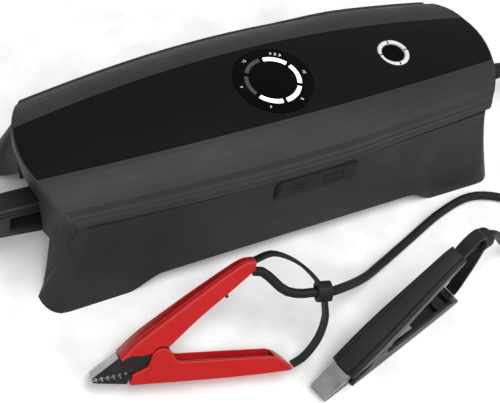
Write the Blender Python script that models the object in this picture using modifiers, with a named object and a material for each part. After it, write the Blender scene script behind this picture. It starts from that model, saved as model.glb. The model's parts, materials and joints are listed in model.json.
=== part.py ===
"""Portable car battery charger: a bridge-shaped body on four splayed feet, with a cable,
two leads and two sprung clamps.

X runs along the body, the USB side faces -Y and Z is up.  The origin is on the floor
under the middle of the body.  All numbers below are millimetres until the meshes are scaled.
"""
import math

import bmesh
import bpy
import numpy as np
from mathutils import Matrix, Vector

# ---------------------------------------------------------------- driving dimensions (mm)
MM = 0.001
GAP = 0.3
SEAM = 0.6                 # under the shell, where both faces are curved

HALF_LENGTH = 127.0        # top shell, at its middle
END_BOW = 16.0             # how much further the end reaches at the middle than at the crease
END_BOW_AT = 39.0
PANEL_HALF_MID = 22.6
PANEL_HALF_TAPER = 8.3
PANEL_Z_MID = 68.9
CROWN_ALONG = 8.0          # drop of the panel's edge from the middle to the ends
CROWN_ACROSS = 1.7
PANEL_THICK = 1.2
RECESS = PANEL_THICK + GAP
SECTION_REACH = 121.0      # where along the crown the end sections are read
RIM = 1.0                  # lip of the shell beyond the panel's ends
SHELL_THICK = 3.5
SHOULDER_BULGE = 2.0
CREASE_Y = 45.4
CREASE_TAPER = 6.4
CREASE_Z = 52.7
CREASE_CROWN = 4.0         # the crease's own rise from the ends to the middle
CREASE_RISE = 2.8          # the crease climbs towards the cable end
VALLEY_DEPTH = 1.5         # hollow just above the crease
EDGE_THICK = 1.5           # the shell's wall at its side edge
WALL = 2.5
FOOT_X = 128.3
FOOT_Y = 50.0
FOOT_RADIUS = 9.5
SIDE_ARCH = 9.5
ARCH_START = 88.0
ARCH_END = 71.0
LEFT_ARCH = 19.5
LEFT_ARCH_MID = 46.0       # top of the slot that the connector housing comes through
SLOT_START = 0.21          # share of the way from the notch's edge to the middle
SLOT_EDGE = 0.07
CASE_INSET = 0.25
RIGHT_ARCH = 16.0
NOTCH_Y = 20.0

DISC_RADIUS = 19.75
DISC_BORE = 17.0
LIGHT_INNER = 12.15
LIGHT_OUTER = 14.15
LIGHT_COUNT = 6
LIGHT_SPAN = math.radians(50.0)
BUTTON_X = 69.6
BUTTON_RING = 8.4
BUTTON_RING_BORE = 6.2
BUTTON_CAP = 5.9
BUTTON_TOP = 68.0
BUTTON_TRAVEL = 1.0

FLAP_LENGTH = 45.0
FLAP_HEIGHT = 12.0
FLAP_THICK = 2.2
FLAP_PROUD = 0.6
FLAP_CENTRE = Vector((6.2, -45.9, 45.6))
FLAP_TILT = math.radians(5.1)

BASE_Z = 24.0
BASE_THICK = 2.0
BULKHEAD_X = 105.2
SCREW_SPOTS = ((-100.0, -22.0), (100.0, -22.0), (-100.0, 22.0), (100.0, 22.0))

HOUSING_Y = -8.5
HOUSING_HALF = 5.6
HOUSING_TIP = -158.0
HOUSING_ROOT = -107.5
SOCKET_Z = 31.5

BOOT_Z = 26.5
BOOT_TIP = 158.0
CABLE_RADIUS = 3.0
LEAD_RADIUS = 2.25
COIL_CENTRE = Vector((218.0, -46.0, 0.0))
COIL_MEAN = 33.0
COIL_HALF_WIDTH = 9.2
COIL_HEIGHT = 12.4
SPLITTER_BACK = 40.0       # from the coil's centre to the splitter's cable end
SPLITTER_LENGTH = 22.0
SPLITTER_MIDDLE = 4.6      # height of the cords where they enter it

CLAMP_WIDTH = 14.0
CLAMP_SKIN = 1.7
JAW_WIDTH = 10.0
JAW_SLOT_WALL = 1.5
GROOVE_AT = 3.4
GROOVE_HALF = 0.55
PIN_RADIUS = 1.6
PIN_HALF = 5.8
STRAP_THICK = 1.7
STRAP_HALF = 3.0
COLLAR_RADIUS = 5.0
COLLAR_HALF = 3.4
PIVOT_U = 15.3
PIVOT_W = 11.2
LOBE_RADIUS = 5.4

MATERIALS = {
    "case": ((0.030, 0.030, 0.031), 0.55, 0.0),
    "shell": ((0.045, 0.045, 0.046), 0.50, 0.0),
    "panel": ((0.012, 0.012, 0.013), 0.35, 0.0),
    "lens": ((0.005, 0.005, 0.006), 0.15, 0.0),
    "light": ((0.85, 0.86, 0.88), 0.40, 0.0),
    "rubber": ((0.022, 0.022, 0.023), 0.70, 0.0),
    "black": ((0.020, 0.020, 0.021), 0.45, 0.0),
    "red": ((0.60, 0.012, 0.012), 0.38, 0.0),
    "chrome": ((0.75, 0.75, 0.77), 0.15, 1.0),
    "steel": ((0.50, 0.50, 0.52), 0.30, 1.0),
    "board": ((0.02, 0.16, 0.06), 0.50, 0.0),
    "cell": ((0.05, 0.20, 0.45), 0.40, 0.0),
    "copper": ((0.60, 0.28, 0.10), 0.35, 1.0),
    "aluminium": ((0.55, 0.56, 0.58), 0.40, 1.0),
}


# Outline planes: X and Z standing upright, and Y and Z with the extrusion along X.
AXES_XZ = Matrix(((1, 0, 0, 0), (0, 0, -1, 0), (0, 1, 0, 0), (0, 0, 0, 1)))
AXES_YZX = Matrix(((0, 0, 1, 0), (1, 0, 0, 0), (0, 1, 0, 0), (0, 0, 0, 1)))


# ---------------------------------------------------------------- scene and helpers
for old in list(bpy.data.objects):
    bpy.data.objects.remove(old, do_unlink=True)

parts = bpy.data.collections.new("car_battery_charger")
cutters = bpy.data.collections.new("cutters")
bpy.context.scene.collection.children.link(parts)
bpy.context.scene.collection.children.link(cutters)


def material(key):
    """The Principled material of one of the finishes above."""
    found = bpy.data.materials.get(key)
    if found:
        return found
    colour, roughness, metallic = MATERIALS[key]
    made = bpy.data.materials.new(key)
    made.use_nodes = True
    shader = made.node_tree.nodes["Principled BSDF"]
    shader.inputs["Base Color"].default_value = (*colour, 1.0)
    shader.inputs["Roughness"].default_value = roughness
    shader.inputs["Metallic"].default_value = metallic
    return made


def place(name, mesh, finish, smooth=True):
    """A mesh as a named part in its finish."""
    item = bpy.data.objects.new(name, mesh)
    parts.objects.link(item)
    mesh.materials.append(material(finish))
    if smooth:
        mesh.shade_smooth()
        mesh.set_sharp_from_angle(angle=math.radians(35.0))
    return item


def finish_mesh(bm, name, matrix=None):
    """Scale a bmesh from millimetres to metres and turn it into a mesh."""
    bmesh.ops.remove_doubles(bm, verts=bm.verts, dist=0.002)
    bmesh.ops.dissolve_degenerate(bm, dist=0.002, edges=bm.edges)
    bmesh.ops.recalc_face_normals(bm, faces=bm.faces)
    if matrix is not None:
        bm.transform(matrix)
    bm.transform(Matrix.Scale(MM, 4))
    mesh = bpy.data.meshes.new(name)
    bm.to_mesh(mesh)
    bm.free()
    return mesh


def as_cutter(item):
    """Move an object out of the parts and show it as a wire cutter."""
    parts.objects.unlink(item)
    cutters.objects.link(item)
    item.hide_render = True
    item.display_type = "WIRE"
    return item


def boolean(item, tool, operation):
    """Add one EXACT Boolean of the tool to the item."""
    step = item.modifiers.new(operation.lower(), "BOOLEAN")
    step.operation = operation
    step.solver = "EXACT"
    step.object = tool
    return item


def cut(item, tool):
    return boolean(item, as_cutter(tool), "DIFFERENCE")


def fuse(item, tool):
    return boolean(item, as_cutter(tool), "UNION")


def box(name, low, high, finish, bevel=0.0, matrix=None):
    """A box between two corners, with optional rounded edges."""
    bm = bmesh.new()
    bmesh.ops.create_cube(bm, size=1.0)
    low, high = Vector(low), Vector(high)
    size = high - low
    bm.transform(Matrix.Translation((low + high) / 2) @ Matrix.Diagonal((*size, 1.0)))
    if bevel:
        bmesh.ops.bevel(bm, geom=bm.edges, offset=bevel, segments=2, profile=0.5,
                        affect="EDGES", clamp_overlap=True)
    return place(name, finish_mesh(bm, name, matrix), finish)


def cylinder(name, radius, low, high, finish, axis="Z", centre=(0.0, 0.0), sides=32, end_radius=None):
    """A cylinder or cone from low to high along an axis; centre holds the two other coordinates."""
    bm = bmesh.new()
    bmesh.ops.create_cone(bm, cap_ends=True, segments=sides, radius1=radius,
                          radius2=radius if end_radius is None else end_radius, depth=high - low)
    bm.transform(Matrix.Translation((0.0, 0.0, (low + high) / 2)))
    turn = {"Z": Matrix.Identity(4),
            "X": Matrix.Rotation(math.pi / 2, 4, "Y"),
            "Y": Matrix.Rotation(-math.pi / 2, 4, "X")}[axis]
    shift = {"Z": (centre[0], centre[1], 0.0),
             "X": (0.0, centre[0], centre[1]),
             "Y": (centre[0], 0.0, centre[1])}[axis]
    return place(name, finish_mesh(bm, name, Matrix.Translation(shift) @ turn), finish)


def turned(name, profile, finish, steps=32, matrix=None):
    """A solid of revolution about Z from (radius, height) points, listed from top to bottom."""
    bm = bmesh.new()
    closed = profile[0] == profile[-1]
    points = [bm.verts.new((r, 0.0, z)) for r, z in (profile[:-1] if closed else profile)]
    if closed:
        points.append(points[0])
    for a, b in zip(points, points[1:]):
        bm.edges.new((a, b))
    bm.transform(Matrix.Scale(MM, 4))
    mesh = bpy.data.meshes.new(name)
    bm.to_mesh(mesh)
    bm.free()
    item = place(name, mesh, finish, smooth=False)
    screw = item.modifiers.new("turn", "SCREW")
    screw.axis = "Z"
    screw.angle = 2 * math.pi
    screw.steps = steps
    screw.render_steps = steps
    screw.use_merge_vertices = True
    screw.merge_threshold = 0.00001
    screw.use_smooth_shade = True
    if matrix is not None:
        moved = matrix.copy()
        moved.translation = matrix.translation * MM
        item.matrix_world = moved
    return item


def prism(name, outline, low, high, finish, matrix=None, bevel=0.0):
    """A flat outline in XY, extruded from low to high along Z."""
    bm = bmesh.new()
    floor = bm.faces.new([bm.verts.new((x, y, low)) for x, y in outline])
    top = bmesh.ops.extrude_face_region(bm, geom=[floor])
    lifted = [v for v in top["geom"] if isinstance(v, bmesh.types.BMVert)]
    bmesh.ops.translate(bm, vec=(0.0, 0.0, high - low), verts=lifted)
    if bevel:
        rims = [e for e in bm.edges if abs(e.verts[0].co.z - e.verts[1].co.z) < 1e-6]
        bmesh.ops.bevel(bm, geom=rims, offset=bevel, segments=2, profile=0.5,
                        affect="EDGES", clamp_overlap=True)
    return place(name, finish_mesh(bm, name, matrix), finish)


def rounded_outline(half_x, half_y, radius, steps=5):
    """A rectangle with round corners, centred on the origin."""
    points = []
    for quarter in range(4):
        sx = (1, -1, -1, 1)[quarter]
        sy = (1, 1, -1, -1)[quarter]
        for k in range(steps + 1):
            angle = math.pi / 2 * (quarter + k / steps)
            points.append((sx * (half_x - radius) + radius * math.cos(angle),
                           sy * (half_y - radius) + radius * math.sin(angle)))
    return points


def skin_between(name, outer, inner, finish, ring=False):
    """A closed solid between two point grids of the same shape, ring closing the first direction."""
    bm = bmesh.new()
    rows, columns = outer.shape[:2]
    sheets = [[[bm.verts.new(tuple(p)) for p in line] for line in sheet] for sheet in (outer, inner)]
    last_row = rows if ring else rows - 1
    for i in range(last_row):
        j = (i + 1) % rows
        for c in range(columns - 1):
            bm.faces.new((sheets[0][i][c], sheets[0][j][c], sheets[0][j][c + 1], sheets[0][i][c + 1]))
            bm.faces.new((sheets[1][i][c], sheets[1][i][c + 1], sheets[1][j][c + 1], sheets[1][j][c]))
        for c in (0, columns - 1):
            bm.faces.new((sheets[0][i][c], sheets[1][i][c], sheets[1][j][c], sheets[0][j][c]))
    if not ring:
        for i in (0, rows - 1):
            for c in range(columns - 1):
                bm.faces.new((sheets[0][i][c], sheets[0][i][c + 1], sheets[1][i][c + 1], sheets[1][i][c]))
    return place(name, finish_mesh(bm, name), finish)


def smooth_route(points, spacing):
    """Points at an even spacing along a smooth curve through the given points."""
    knots = [Vector(p) for p in points]
    knots = [2 * knots[0] - knots[1]] + knots + [2 * knots[-1] - knots[-2]]
    fine = []
    for a, b, c, d in zip(knots, knots[1:], knots[2:], knots[3:]):
        for k in range(24):
            t = k / 24
            fine.append(0.5 * (2 * b + (c - a) * t + (2 * a - 5 * b + 4 * c - d) * t ** 2
                               + (3 * b - a - 3 * c + d) * t ** 3))
    fine.append(knots[-2])
    lengths = [0.0]
    for a, b in zip(fine, fine[1:]):
        lengths.append(lengths[-1] + (b - a).length)
    count = max(2, round(lengths[-1] / spacing))
    stations = np.linspace(0.0, lengths[-1], count + 1)
    axes = [np.interp(stations, lengths, [p[k] for p in fine]) for k in range(3)]
    return [Vector(p) for p in zip(*axes)]


def tube(name, points, radius, finish, rings=2):
    """A round cord along points, with closed ends."""
    curve = bpy.data.curves.new(name, "CURVE")
    curve.dimensions = "3D"
    curve.bevel_depth = radius * MM
    curve.bevel_resolution = rings
    curve.use_fill_caps = True
    spline = curve.splines.new("POLY")
    spline.points.add(len(points) - 1)
    for spot, p in zip(spline.points, points):
        spot.co = (p[0] * MM, p[1] * MM, p[2] * MM, 1.0)
    curve.materials.append(material(finish))
    item = bpy.data.objects.new(name, curve)
    parts.objects.link(item)
    return item


def set_origin(item, point):
    """Move an object's origin to a point on its joint axis without moving its shape."""
    spot = Vector(point) * MM
    item.data.transform(Matrix.Translation(-spot))
    item.location = spot
    return item


def smoothstep(value):
    value = min(max(value, 0.0), 1.0)
    return value * value * (3 - 2 * value)


def mix(a, b, share):
    return a + (b - a) * share


# ---------------------------------------------------------------- the body's surfaces
def panel_half(x):
    return PANEL_HALF_MID - PANEL_HALF_TAPER * (x / 125.0) ** 2


def panel_z(x):
    return PANEL_Z_MID - CROWN_ALONG * (x / 125.0) ** 2


def crease_y(x):
    return CREASE_Y - CREASE_TAPER * (x / 111.0) ** 2


def crease_z(x):
    crown = CREASE_CROWN * (1.0 - (x / 111.0) ** 2)
    return CREASE_Z + crown + CREASE_RISE * smoothstep((x - 25.0) / 45.0)


def end_x(y):
    return HALF_LENGTH - END_BOW * (y / END_BOW_AT) ** 2


SHOULDER_STEPS = (0.12, 0.28, 0.44, 0.6, 0.73, 0.81, 0.87, 0.92, 0.96, 1.0)
PANEL_STEPS = (0.0, 0.34, 0.67, 1.0)
VALLEY_AT = 0.84


def shoulder_point(x, share):
    """Height and half-width on the shoulder, from the panel's edge (0) to the crease (1)."""
    y0, z0 = panel_half(x) + GAP, panel_z(x)
    y1, z1 = crease_y(x), crease_z(x)
    valley = VALLEY_DEPTH * smoothstep(1.0 - abs(share - VALLEY_AT) / 0.13)
    roll = 1.2 * smoothstep((share - 0.93) / 0.07)
    bulge = SHOULDER_BULGE * 4 * share * (1 - share)
    return mix(y0, y1, share), mix(z0, z1, share) + bulge - valley - roll


def shell_wall(x, y):
    """Thickness of the shell over a point in plan: thinner at its side edge."""
    edge = smoothstep((abs(y) / crease_y(x) - 0.86) / 0.10)
    return mix(SHELL_THICK, EDGE_THICK, edge)


def top_point(x, share):
    """The panel's surface across the middle, share running from the centre (0) to its edge (1)."""
    half = panel_half(x)
    rise = CROWN_ACROSS * (half / PANEL_HALF_MID) ** 2 * (1 - share ** 2)
    return half * share, panel_z(x) + rise


def shell_height(x, y):
    """Height of the shell's outer surface over any point in plan."""
    section_x = min(1.0, max(-1.0, x / end_x(y))) * SECTION_REACH
    half, across = panel_half(section_x), abs(y)
    if across <= half:
        return top_point(section_x, across / half)[1]
    y0 = half + GAP
    y1 = crease_y(section_x)
    return shoulder_point(section_x, min(1.0, max(0.0, (across - y0) / (y1 - y0))))[1]


def shell_rows():
    """One side of the shell's section as (kind, share, lowered) from the edge to the middle."""
    rows = [("shoulder", share, False) for share in reversed(SHOULDER_STEPS)]
    rows += [("shoulder", 0.0, False), ("shoulder", 0.0, True)]
    rows += [("panel", share, True) for share in reversed(PANEL_STEPS[:-1])]
    return rows


def shell_section(x):
    """The whole section at x, from the near edge over to the far edge."""
    half = []
    for kind, share, lowered in shell_rows():
        y, z = shoulder_point(x, share) if kind == "shoulder" else top_point(x, share)
        half.append((y, z, lowered))
    near = [(-y, z, low) for y, z, low in half]
    far = list(reversed(half))[1:]
    return near + far


def shell_stations():
    """Shares of the half length with the rim's step doubled, as (share, inside the recess)."""
    inside = 1.0 - RIM / HALF_LENGTH
    shares = [math.sin(math.pi / 2 * k / 14) * inside for k in range(-14, 15)]
    return ([(-1.0, False), (-inside, False)] + [(s, True) for s in shares]
            + [(inside, False), (1.0, False)])


def build_upper_shell():
    outer, under = [], []
    for share, recessed in shell_stations():
        section_x = share * SECTION_REACH
        section = shell_section(section_x)
        top_line, low_line = [], []
        for y, z, lowered in section:
            x = share * end_x(y)
            drop = RECESS if lowered and recessed else 0.0
            top_line.append((x, y, z - drop))
            low_line.append((x, y, z - shell_wall(section_x, y)))
        outer.append(top_line)
        under.append(low_line)
    shell = skin_between("upper_shell", np.array(outer), np.array(under), "shell")
    for k, (x, y) in enumerate(SCREW_SPOTS):
        top = shell_height(x, y) - 1.5
        fuse(shell, cylinder(f"boss_{k}", 3.4, BASE_Z + BASE_THICK + GAP, top, "shell",
                             centre=(x, y), sides=16))
        cut(shell, cylinder(f"boss_hole_{k}", 1.75, BASE_Z, BASE_Z + 18.0, "shell",
                            centre=(x, y), sides=12))
    cut(shell, cylinder("display_bore", DISC_BORE, 55.0, 75.0, "shell", sides=48))
    cut(shell, cylinder("button_bore", BUTTON_RING + GAP, 55.0, 75.0, "shell",
                        centre=(BUTTON_X, 0.0), sides=32))
    return shell


def panel_plate(name, finish, half_steps=16):
    """The curved plate that fills the shell's recess."""
    inside = 1.0 - (RIM + GAP) / HALF_LENGTH
    outer, under = [], []
    for k in range(-half_steps, half_steps + 1):
        share = math.sin(math.pi / 2 * k / half_steps) * inside
        section_x = share * SECTION_REACH
        line = []
        for part in (-1.0, -0.67, -0.34, 0.0, 0.34, 0.67, 1.0):
            y, z = top_point(section_x, abs(part))
            y = math.copysign(y, part)
            line.append((share * end_x(y), y, z))
        outer.append(line)
        under.append([(x, y, z - PANEL_THICK) for x, y, z in line])
    return skin_between(name, np.array(outer), np.array(under), finish)


def arc_outline(inner, outer, middle, span, steps=8):
    """The outline of one piece of a ring."""
    angles = [middle - span / 2 + span * k / steps for k in range(steps + 1)]
    rim = [(outer * math.cos(a), outer * math.sin(a)) for a in angles]
    bore = [(inner * math.cos(a), inner * math.sin(a)) for a in reversed(angles)]
    return rim + bore


def light_angle(index):
    return math.radians(60.0 - 60.0 * index)


def build_display():
    panel = panel_plate("top_panel", "panel")
    cut(panel, cylinder("panel_disc_hole", DISC_RADIUS + GAP, 55.0, 75.0, "panel", sides=64))
    cut(panel, cylinder("panel_button_hole", BUTTON_RING + GAP, 55.0, 75.0, "panel",
                        centre=(BUTTON_X, 0.0), sides=32))
    lens = cylinder("display_lens", DISC_RADIUS, 55.0, 75.0, "lens", sides=64)
    boolean(lens, as_cutter(panel_plate("lens_body", "lens")), "INTERSECT")
    bottom = panel_z(0.0) + CROWN_ACROSS - SHELL_THICK
    for k in range(LIGHT_COUNT):
        slot = arc_outline(LIGHT_INNER - GAP, LIGHT_OUTER + GAP, light_angle(k),
                           LIGHT_SPAN + 2 * GAP / LIGHT_INNER)
        cut(lens, prism(f"light_slot_{k + 1}", slot, 55.0, 75.0, "lens"))
        window = prism(f"light_segment_{k + 1}",
                       arc_outline(LIGHT_INNER, LIGHT_OUTER, light_angle(k), LIGHT_SPAN),
                       bottom, panel_z(0.0) + CROWN_ACROSS - 0.35, "light")
        window.data.shade_flat()
    cylinder("display_board", DISC_BORE - 1.0, bottom - 2.2, bottom - GAP, "board", sides=32)


def build_button():
    ring_profile = ((BUTTON_RING_BORE, BUTTON_TOP - 0.5), (BUTTON_RING_BORE + 0.5, BUTTON_TOP),
                    (BUTTON_RING - 0.7, BUTTON_TOP), (BUTTON_RING, BUTTON_TOP - 0.6),
                    (BUTTON_RING, BUTTON_TOP - 6.0), (BUTTON_RING_BORE, BUTTON_TOP - 6.0),
                    (BUTTON_RING_BORE, BUTTON_TOP - 0.5))
    turned("button_ring", ring_profile, "light",
           matrix=Matrix.Translation((BUTTON_X, 0.0, 0.0)))
    cap_profile = ((0.0, BUTTON_TOP - 0.7), (BUTTON_CAP - 0.8, BUTTON_TOP - 0.5),
                   (BUTTON_CAP, BUTTON_TOP - 1.0), (BUTTON_CAP, BUTTON_TOP - 4.0),
                   (2.0, BUTTON_TOP - 4.0), (2.0, BUTTON_TOP - 7.0), (0.0, BUTTON_TOP - 7.0))
    turned("button_cap", [(r, z - BUTTON_TOP) for r, z in cap_profile], "panel",
           matrix=Matrix.Translation((BUTTON_X, 0.0, BUTTON_TOP)))
    switch_top = BUTTON_TOP - 7.0 - BUTTON_TRAVEL - GAP
    box("tact_switch", (BUTTON_X - 3.0, -3.0, 50.9), (BUTTON_X + 3.0, 3.0, switch_top), "black")


# ---------------------------------------------------------------- lower case
def side_arch(x):
    """Height of the skirt's lower edge along the sides."""
    return SIDE_ARCH * smoothstep((ARCH_START - abs(x)) / (ARCH_START - ARCH_END))


def end_wall_x(y, z, side):
    """The raked end wall under the shell's bowed edge."""
    return side * (HALF_LENGTH - 2.0 - END_BOW * (y / END_BOW_AT) ** 2 - 0.1 * (55.0 - z))


def case_station(side, phase, share):
    """Top point, lower point and inward direction of one line down the case wall.

    The quarter runs from the middle of the near side (phase 'side'), round the leg's corner
    ('corner'), over the leg's inner face ('leg') and along the end wall ('end').
    """
    if phase == "side":
        x_top = share * 107.0
        x_low = share * 117.0
        top = Vector((side * x_top, -crease_y(x_top) + CASE_INSET, 0.0))
        low = Vector((side * x_low, -mix(49.6, FOOT_Y, share ** 2), side_arch(x_low)))
        return top, low, Vector((0.0, 1.0, 0.0))
    if phase == "corner":
        angle = share * math.pi / 2
        reach = FOOT_RADIUS
        corner_y = crease_y(107.0) - CASE_INSET
        top = Vector((side * (107.0 + 2.6 * math.sin(angle)),
                      -corner_y + 2.6 * (1.0 - math.cos(angle)), 0.0))
        low = Vector((side * (FOOT_X - reach + reach * math.sin(angle)),
                      -(FOOT_Y - reach) - reach * math.cos(angle) + 3.0 * share ** 2, 0.0))
        return top, low, Vector((-side * math.sin(angle), math.cos(angle), 0.0))
    if phase == "leg":
        y_top = mix(2.6 + CASE_INSET - crease_y(107.0), -29.0, share)
        bend = share ** 0.75
        edge = LEFT_ARCH if side < 0 else RIGHT_ARCH
        low = Vector((0.0, mix(-37.5, -NOTCH_Y, share), edge * share ** 1.5))
        low.x = mix(side * FOOT_X, end_wall_x(-NOTCH_Y, edge, side), bend)
        top = Vector((mix(side * 109.6, end_wall_x(y_top, 52.0, side), share), y_top, 0.0))
        return top, low, Vector((-side, 0.0, 0.0))
    y_top = mix(-29.0, 0.0, share)
    y_low = mix(-NOTCH_Y, 0.0, share)
    z_low = RIGHT_ARCH
    if side < 0:
        z_low = mix(LEFT_ARCH, LEFT_ARCH_MID, smoothstep((share - SLOT_START) / SLOT_EDGE))
    return (Vector((end_wall_x(y_top, 54.0, side), y_top, 0.0)),
            Vector((end_wall_x(y_low, z_low, side), y_low, z_low)), Vector((-side, 0.0, 0.0)))


SKIRT_STEPS = (0.10, 0.25, 0.45, 0.65, 0.85, 1.0)
SIDE_SHARES = (0.0, 0.12, 0.24, 0.36, 0.48, 0.58, 0.615, 0.645, 0.675, 0.705, 0.74, 0.78, 0.85,
               0.93, 0.965, 1.0)
END_SHARES = (0.11, 0.21, 0.245, 0.28, 0.4, 0.55, 0.7, 0.85, 1.0)


def case_line(station):
    """Outer and inner points down one line of the case wall."""
    top, low, inward = station
    section_x = top.x / end_x(top.y) * SECTION_REACH
    level = shell_height(top.x, top.y) - shell_wall(section_x, top.y) - SEAM
    seat = top + inward * WALL
    inner_level = shell_height(seat.x, seat.y) - SHELL_THICK - SEAM
    outer = [(top.x, top.y, level)]
    inner = [(seat.x, seat.y, min(level, inner_level))]
    for share in SKIRT_STEPS:
        plan = mix(top.to_2d(), low.to_2d(), share ** 1.15)
        plan_in = plan + inward.to_2d() * WALL
        outer.append((plan.x, plan.y, mix(level, low.z, share)))
        inner.append((plan_in.x, plan_in.y, mix(inner[0][2], low.z, share)))
    return outer, inner


def case_quarter(side):
    """Stations from the middle of the near side to the middle of one end."""
    stations = [case_station(side, "side", s) for s in SIDE_SHARES]
    stations += [case_station(side, "corner", k / 6) for k in range(1, 7)]
    stations += [case_station(side, "leg", k / 4) for k in range(1, 5)]
    stations += [case_station(side, "end", s) for s in END_SHARES]
    return stations


def mirrored(station):
    top, low, inward = station
    flip = Matrix.Diagonal((1.0, -1.0, 1.0))
    return flip @ top, flip @ low, flip @ inward


def build_lower_case():
    right = case_quarter(1)
    left = case_quarter(-1)
    far_right = [mirrored(s) for s in reversed(right[:-1])]
    far_left = [mirrored(s) for s in left[1:]]
    near_left = list(reversed(left[1:-1]))
    lines = [case_line(s) for s in right + far_right + far_left + near_left]
    outer = np.array([line[0] for line in lines])
    inner = np.array([line[1] for line in lines])
    case = skin_between("lower_case", outer, inner, "case", ring=True)
    cut(case, cylinder("boot_hole", 5.3, 105.0, 140.0, "case", axis="X", centre=(0.0, BOOT_Z),
                       sides=24))
    window = rounded_outline(FLAP_LENGTH / 2 + GAP, FLAP_HEIGHT / 2 + GAP, 3.0)
    cut(case, prism("usb_window", window, -12.0, 6.0, "case", matrix=flap_frame()))
    return case


def flap_frame():
    """Maps an outline's X, Y and Z to the flap's length, height and outward direction."""
    turn = Matrix.Rotation(math.pi / 2 - FLAP_TILT, 4, "X")
    return Matrix.Translation(FLAP_CENTRE) @ turn


def build_usb():
    frame = flap_frame()
    outline = rounded_outline(FLAP_LENGTH / 2, FLAP_HEIGHT / 2, 2.8)
    flap = prism("usb_flap", outline, FLAP_PROUD - FLAP_THICK, FLAP_PROUD, "rubber",
                 matrix=frame, bevel=0.35)
    set_origin(flap, flap_hinge())
    back = FLAP_PROUD - FLAP_THICK - GAP
    bezel = prism("usb_bezel", rounded_outline(FLAP_LENGTH / 2 - 0.6, FLAP_HEIGHT / 2 - 0.6, 2.4),
                  back - 1.4, back, "black", matrix=frame)
    ports = (("usb_c_port", -9.5, 4.9, 2.0, 1.9), ("usb_a_port", 9.5, 7.0, 3.2, 0.4))
    for name, along, half_x, half_y, radius in ports:
        hole = [(x + along, y) for x, y in rounded_outline(half_x + GAP, half_y + GAP, radius, 4)]
        cut(bezel, prism(name + "_hole", hole, back - 6.0, back + 3.0, "black", matrix=frame))
        body = [(x + along, y) for x, y in rounded_outline(half_x, half_y, radius, 4)]
        shell = prism(name, body, back - 13.5, back - 0.2, "steel", matrix=frame)
        mouth = [(x + along, y) for x, y in
                 rounded_outline(half_x - 0.5, half_y - 0.5, max(0.3, radius - 0.5), 4)]
        cut(shell, prism(name + "_mouth", mouth, back - 11.0, back + 3.0, "steel", matrix=frame))


def flap_hinge():
    """A point on the flap's hinge axis, at its outer edge on the cable side."""
    return flap_frame() @ Vector((FLAP_LENGTH / 2, 0.0, FLAP_PROUD))


# ---------------------------------------------------------------- inside the body
def bulkhead_outline(x):
    """The bay's end wall in Y and Z, following the shell's underside."""
    half = 32.0
    spots = [half * k / 6 for k in range(6, -7, -1)]
    return [(-half, BASE_Z + 0.5), (half, BASE_Z + 0.5)] + [
        (y, shell_height(x, y) - SHELL_THICK - 2 * SEAM) for y in spots]


def build_inside():
    cover = prism("base_cover", rounded_outline(107.0, 40.5, 20.0, 6), BASE_Z, BASE_Z + BASE_THICK,
                  "black")
    for side in (-1, 1):
        wall = prism(f"bulkhead_{side + 1}", bulkhead_outline(side * 107.0), -0.8, 0.8, "black",
                     matrix=Matrix.Translation((side * BULKHEAD_X, 0.0, 0.0)) @ AXES_YZX)
        fuse(cover, wall)
    for k, (x, y) in enumerate(SCREW_SPOTS):
        cut(cover, cylinder(f"cover_hole_{k}", 1.8, 20.0, 30.0, "black", centre=(x, y), sides=16))
        head = ((0.0, BASE_Z - 1.9), (1.0, BASE_Z - 2.2), (3.0, BASE_Z - 1.5), (3.0, BASE_Z - GAP),
                (1.4, BASE_Z - GAP), (1.4, BASE_Z + 15.0), (0.0, BASE_Z + 16.0))
        turned(f"case_screw_{k + 1}", list(reversed(head)), "steel", steps=16,
               matrix=Matrix.Translation((x, y, 0.0)))
    for k in range(4):
        x0 = -84.0 + 66.5 * (k // 2)
        y0 = -10.2 + 20.4 * (k % 2)
        cylinder(f"battery_cell_{k + 1}", 9.2, x0, x0 + 65.0, "cell", axis="X",
                 centre=(y0, BASE_Z + BASE_THICK + GAP + 9.4), sides=24)
    board_low, board_high = 47.4, 49.0
    box("main_board", (-88.0, -26.5, board_low), (92.0, 26.5, board_high), "board")
    rest = board_high + GAP
    ring = [(8.0 + 2.8 * math.cos(a), 2.8 * math.sin(a))
            for a in (-2 * math.pi * (k % 10) / 10 for k in range(11))]
    turned("choke", ring, "copper", steps=20, matrix=Matrix.Translation((-56.0, 0.0, rest + 2.9)))
    cylinder("capacitor", 5.0, rest, rest + 8.0, "black", centre=(-33.0, 12.0), sides=20)
    comb = [(0.0, 0.0), (0.0, 8.0), (1.6, 8.0)]
    for k in range(1, 6):
        comb += [(k * 4.0 - 2.4, 2.0), (k * 4.0, 2.0), (k * 4.0, 8.0), (k * 4.0 + 1.6, 8.0)]
    comb += [(21.6, 0.0)]
    stand = Matrix.Translation((30.0, -10.8, rest)) @ AXES_YZX
    prism("heat_sink", comb, 0.0, 24.0, "aluminium", matrix=stand)


def build_feet():
    for name, sx, sy in (("front_left", -1, -1), ("front_right", 1, -1), ("rear_left", -1, 1),
                         ("rear_right", 1, 1)):
        outline = rounded_outline(10.0, 3.3, 3.0)
        spot = Matrix.Translation((sx * 105.5, sy * 42.4, 0.0))
        prism("foot_insert_" + name, outline, 0.0, 5.0, "rubber", matrix=spot)


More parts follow.
